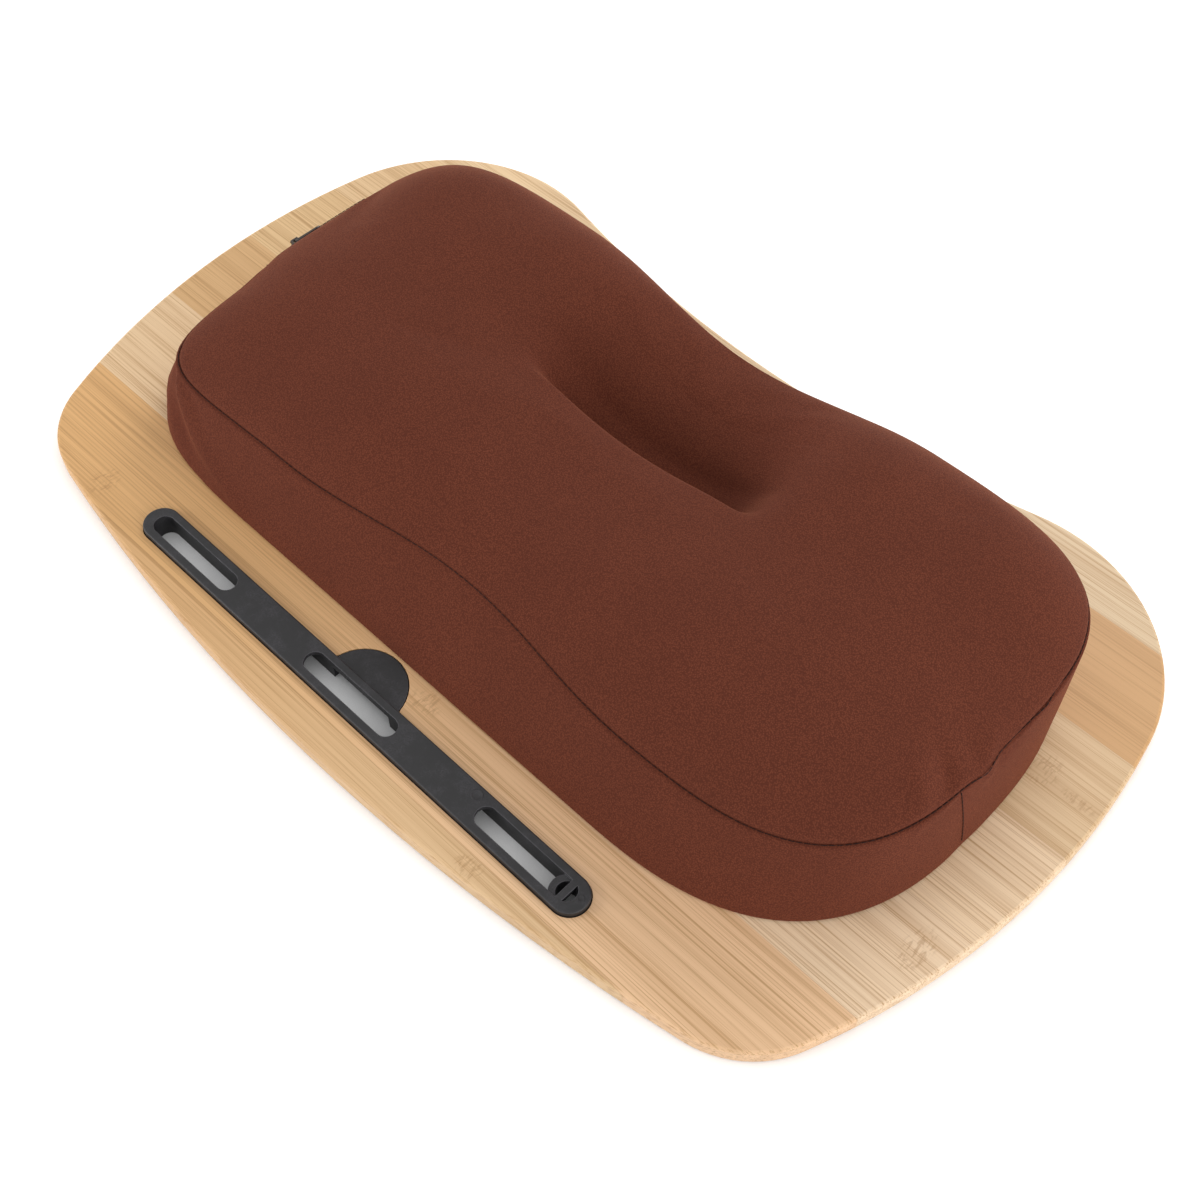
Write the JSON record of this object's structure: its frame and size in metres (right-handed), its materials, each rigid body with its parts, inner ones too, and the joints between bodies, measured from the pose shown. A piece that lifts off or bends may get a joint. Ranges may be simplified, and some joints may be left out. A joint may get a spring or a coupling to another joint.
{
  "type": "lap desk",
  "caption": "Lap desk lying work face down: a bamboo board with a moulded media slot insert, and a soft dimpled pad in a zipped knit cover, held on by hook and loop strips.",
  "frame": {"origin": "centre of the board's outline, on the work face that it lies on", "axes": "+X along the board's length, +Y towards the edge hollowed for the user's body, +Z out of the underside. The desk lies upside down, as pictured; in use it is turned over."},
  "size_m": [0.55, 0.3364, 0.0785],
  "materials": {
    "bamboo": "satin lacquer",
    "black_moulding": "fine matt grain",
    "hook_and_loop": "woven nylon",
    "cover_knit": "brushed stretch knit",
    "pad_bag": "plain weave",
    "tie_webbing": "woven tape",
    "zip_tape": "woven tape",
    "zip_coil": "nylon coil",
    "zip_metal": "dark lacquer"
  },
  "bodies": {
    "board": {"bamboo_plank_1": "bamboo", "bamboo_plank_2": "bamboo", "bamboo_plank_3": "bamboo", "bamboo_plank_4": "bamboo", "bamboo_plank_5": "bamboo", "bamboo_plank_6": "bamboo", "bamboo_plank_7": "bamboo", "media_slot_insert": "black_moulding", "hook_strip_1": "hook_and_loop", "hook_strip_2": "hook_and_loop", "hook_strip_3": "hook_and_loop", "hook_strip_4": "hook_and_loop"},
    "cushion": {"loop_strip_1": "hook_and_loop", "loop_strip_2": "hook_and_loop", "loop_strip_3": "hook_and_loop", "loop_strip_4": "hook_and_loop", "cover_base_panel": "cover_knit", "cover_band_outer": "cover_knit", "cover_band_user": "cover_knit", "cover_top_panel": "cover_knit", "dimple_tie_web": "tie_webbing", "inner_pad": "pad_bag", "zip_tape_lower": "zip_tape", "zip_tape_upper": "zip_tape", "zip_coil_lower": "zip_coil", "zip_coil_upper": "zip_coil", "zip_stop_closed": "zip_metal", "zip_stop_open": "zip_metal"},
    "slider": {"zip_slider": "zip_metal"},
    "pull": {"zip_pull": "zip_metal"}
  },
  "joints": [
    {"name": "cushion_lift", "type": "slide", "parent": "board", "child": "cushion", "axis": [0, 0, 1], "range_m": [0, 0.1]},
    {"name": "zip_slider_travel", "type": "slide", "parent": "cushion", "child": "slider", "axis": [0.0152, 0.9999, 0.0002], "range_m": [0, 0.034]},
    {"name": "zip_pull_swing", "type": "hinge", "parent": "slider", "child": "pull", "pos_m": [-0.22998, 0.0219, 0.03223], "axis": [0.413, -0.0064, 0.9107], "range_deg": [0, 170]}
  ]
}
